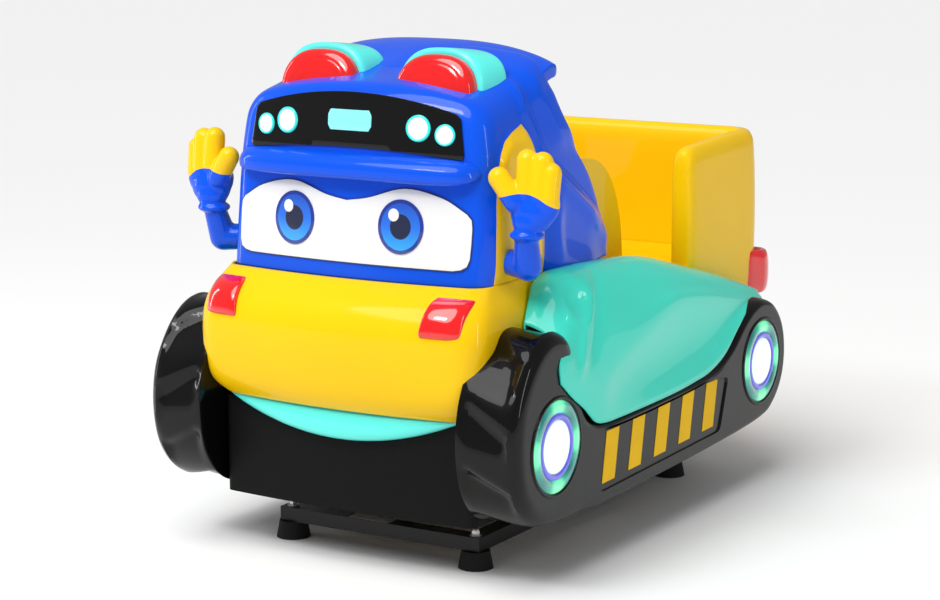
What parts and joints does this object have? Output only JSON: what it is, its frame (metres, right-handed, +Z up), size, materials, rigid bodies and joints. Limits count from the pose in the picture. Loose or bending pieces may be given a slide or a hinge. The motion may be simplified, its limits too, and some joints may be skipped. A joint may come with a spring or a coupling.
{
  "type": "kiddie ride machine",
  "caption": "Coin-operated ride shaped like a friendly tracked truck: a geared motor rocks the fibreglass body on a steel base while a child steers from the rear seat.",
  "frame": {"origin": "on the floor under the centre of the bounding box", "axes": "+Z up, the face looks along -Y, +Y to the seat and tail lamps, +X is the rider's left"},
  "size_m": [0.91, 1.416, 1.0721],
  "materials": {
    "frame_steel": "satin black powder coat",
    "rubber": "matt moulded rubber",
    "zinc": "zinc plated",
    "machine_steel": "machined steel",
    "cast_metal": "as cast",
    "motor_paint": "hammered enamel",
    "bare_plate": "brushed, blank",
    "blue_gelcoat": "polished fibreglass gelcoat",
    "yellow_gelcoat": "polished fibreglass gelcoat",
    "turquoise_gelcoat": "polished fibreglass gelcoat",
    "cyan_gelcoat": "polished fibreglass gelcoat",
    "black_gelcoat": "gloss black gelcoat",
    "skirt_black": "satin black gelcoat",
    "white_vinyl": "gloss",
    "eye_blue": "gloss print",
    "badge_cyan": "translucent",
    "lamp_white": "translucent, lit",
    "ring_green": "translucent, lit",
    "red_lens": "translucent moulded lens",
    "stripe_yellow": "gloss vinyl",
    "control_black": "textured",
    "button_red": "gloss",
    "button_green": "gloss, lit",
    "box_grey": "powder coat"
  },
  "bodies": {
    "base": {"base_frame": "frame_steel", "rubber_feet": "rubber", "foot_bolts": "zinc", "pivot_bearings": "machine_steel", "gearbox": "cast_metal", "motor": "motor_paint", "fan_cowl": "motor_paint", "rating_plate": "bare_plate"},
    "carriage": {"rod_pin": "machine_steel", "rocker_axle": "machine_steel", "carrier_frame": "frame_steel", "skirt_shell": "skirt_black", "chin_strip": "cyan_gelcoat", "face_shell": "yellow_gelcoat", "indicators": "red_lens", "track_left": "black_gelcoat", "track_right": "black_gelcoat", "hazard_stripes": "stripe_yellow", "wheel_rings": "ring_green", "wheel_caps": "lamp_white", "cab_shell": "blue_gelcoat", "visor_panel": "black_gelcoat", "windscreen": "white_vinyl", "eye_discs": "eye_blue", "headlamps": "lamp_white", "visor_badge": "badge_cyan", "siren_lenses": "red_lens", "siren_cowls": "cyan_gelcoat", "arm_left": "blue_gelcoat", "arm_right": "blue_gelcoat", "hand_left": "yellow_gelcoat", "hand_right": "yellow_gelcoat", "fender_left": "turquoise_gelcoat", "fender_right": "turquoise_gelcoat", "tub_shell": "yellow_gelcoat", "seat_bench": "yellow_gelcoat", "footwell": "yellow_gelcoat", "tail_lamps": "red_lens", "dash_console": "yellow_gelcoat", "steering_column": "control_black", "start_bezel": "control_black", "coin_mech": "zinc", "speaker": "control_black", "cash_box": "box_grey", "door_hinge": "zinc", "power_panel": "control_black", "control_box": "box_grey", "body_bolts": "zinc"},
    "fan": {"motor_fan": "control_black"},
    "crank": {"crank": "machine_steel"},
    "rod": {"connecting_rod": "machine_steel", "crank_pin": "machine_steel"},
    "steering": {"steering_wheel": "control_black"},
    "horn": {"horn_button": "button_red"},
    "start_button": {"start_button": "button_green"},
    "reject_button": {"reject_button": "button_red"},
    "access_door": {"access_door": "yellow_gelcoat"},
    "door_lock": {"door_lock": "zinc"},
    "power_switch": {"power_switch": "button_red"}
  },
  "joints": [
    {"name": "rock", "type": "hinge", "parent": "base", "child": "carriage", "pos_m": [0, -0.037, 0.15], "axis": [1, 0, 0], "range_deg": [-4, 4]},
    {"name": "crank_spin", "type": "hinge", "parent": "base", "child": "crank", "pos_m": [0.106, 0.24, 0.13], "axis": [1, 0, 0], "continuous": true},
    {"name": "fan_spin", "type": "hinge", "parent": "base", "child": "fan", "pos_m": [0.0575, 0.047, 0.121], "axis": [0, 1, 0], "continuous": true},
    {"name": "rod_swing", "type": "hinge", "parent": "carriage", "child": "rod", "pos_m": [0.122, 0.222, 0.235], "axis": [1, 0, 0], "range_deg": [-4, 22]},
    {"name": "steering_spin", "type": "hinge", "parent": "carriage", "child": "steering", "pos_m": [0, 0.08076, 0.72176], "axis": [0, 0.868, 0.4966], "continuous": true},
    {"name": "horn_press", "type": "slide", "parent": "steering", "child": "horn", "axis": [0, -0.868, -0.4966], "range_m": [0, 0.003]},
    {"name": "start_press", "type": "slide", "parent": "carriage", "child": "start_button", "axis": [0, -0.868, -0.4966], "range_m": [0, 0.004]},
    {"name": "reject_press", "type": "slide", "parent": "carriage", "child": "reject_button", "axis": [0, -0.868, -0.4966], "range_m": [0, 0.003]},
    {"name": "access_door_hinge", "type": "hinge", "parent": "carriage", "child": "access_door", "pos_m": [-0.126, 0.681, 0.44], "axis": [0, 0, 1], "range_deg": [0, 105]},
    {"name": "door_lock_turn", "type": "hinge", "parent": "access_door", "child": "door_lock", "pos_m": [0.092, 0.672, 0.44], "axis": [0, -1, 0], "range_deg": [0, 90]},
    {"name": "power_switch_rock", "type": "hinge", "parent": "carriage", "child": "power_switch", "pos_m": [0.215, 0.604, 0.22], "axis": [1, 0, 0], "range_deg": [-10, 10]}
  ],
  "couplings": [
    {"joint": "fan_spin", "follows": "crank_spin", "ratio": 30}
  ]
}
